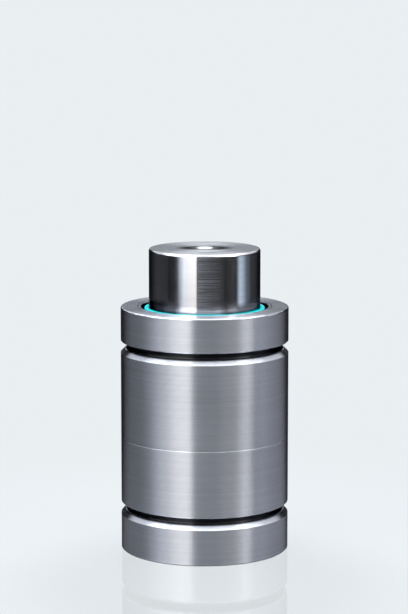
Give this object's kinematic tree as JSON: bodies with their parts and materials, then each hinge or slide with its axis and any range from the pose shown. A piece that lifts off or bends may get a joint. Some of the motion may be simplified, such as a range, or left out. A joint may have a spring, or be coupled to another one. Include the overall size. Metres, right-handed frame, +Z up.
{
  "type": "nitrogen die spring",
  "caption": "Upright gas spring for press dies: a polished rod with a bright wiper ring slides in a turned steel body with mounting grooves and a charging valve.",
  "frame": {"origin": "centre of the base face", "axes": "+Z up along the rod, +X to the right of the picture's view"},
  "size_m": [0.095, 0.095, 0.172],
  "materials": {
    "body_steel": "fine turned steel",
    "rod_steel": "ground and polished",
    "dark_steel": "oiled steel",
    "cyan_rubber": "smooth elastomer",
    "black_rubber": "matte",
    "seal_green": "smooth elastomer",
    "bronze": "sintered bearing bronze",
    "white_plastic": "matte",
    "brass": "turned brass",
    "copper": "soft copper"
  },
  "bodies": {
    "cylinder": {"cylinder_tube": "body_steel", "rod_guide": "dark_steel", "guide_bush": "bronze", "rod_seal": "seal_green", "seal_energiser": "black_rubber", "seal_backup_ring": "white_plastic", "guide_o_ring": "black_rubber", "guide_backup_ring": "white_plastic", "retaining_ring": "dark_steel", "cover_ring": "body_steel", "rod_wiper": "cyan_rubber", "valve_body": "brass", "valve_body_o_ring": "black_rubber", "valve_spring": "dark_steel", "valve_cap": "brass", "port_plug": "dark_steel", "plug_seal": "copper"},
    "rod": {"piston_rod": "rod_steel", "piston_guide_ring": "bronze"},
    "poppet": {"valve_poppet": "rod_steel", "poppet_seal": "black_rubber"}
  },
  "joints": [
    {"name": "rod_stroke", "type": "slide", "parent": "cylinder", "child": "rod", "axis": [0, 0, 1], "range_m": [-0.025, 0], "stiffness_N_per_m": 1900, "springref_m": 0.08},
    {"name": "valve_lift", "type": "slide", "parent": "cylinder", "child": "poppet", "axis": [0, 0, 1], "range_m": [0, 0.0012], "stiffness_N_per_m": 300, "springref_m": -0.003, "deforming": ["valve_spring"]}
  ]
}
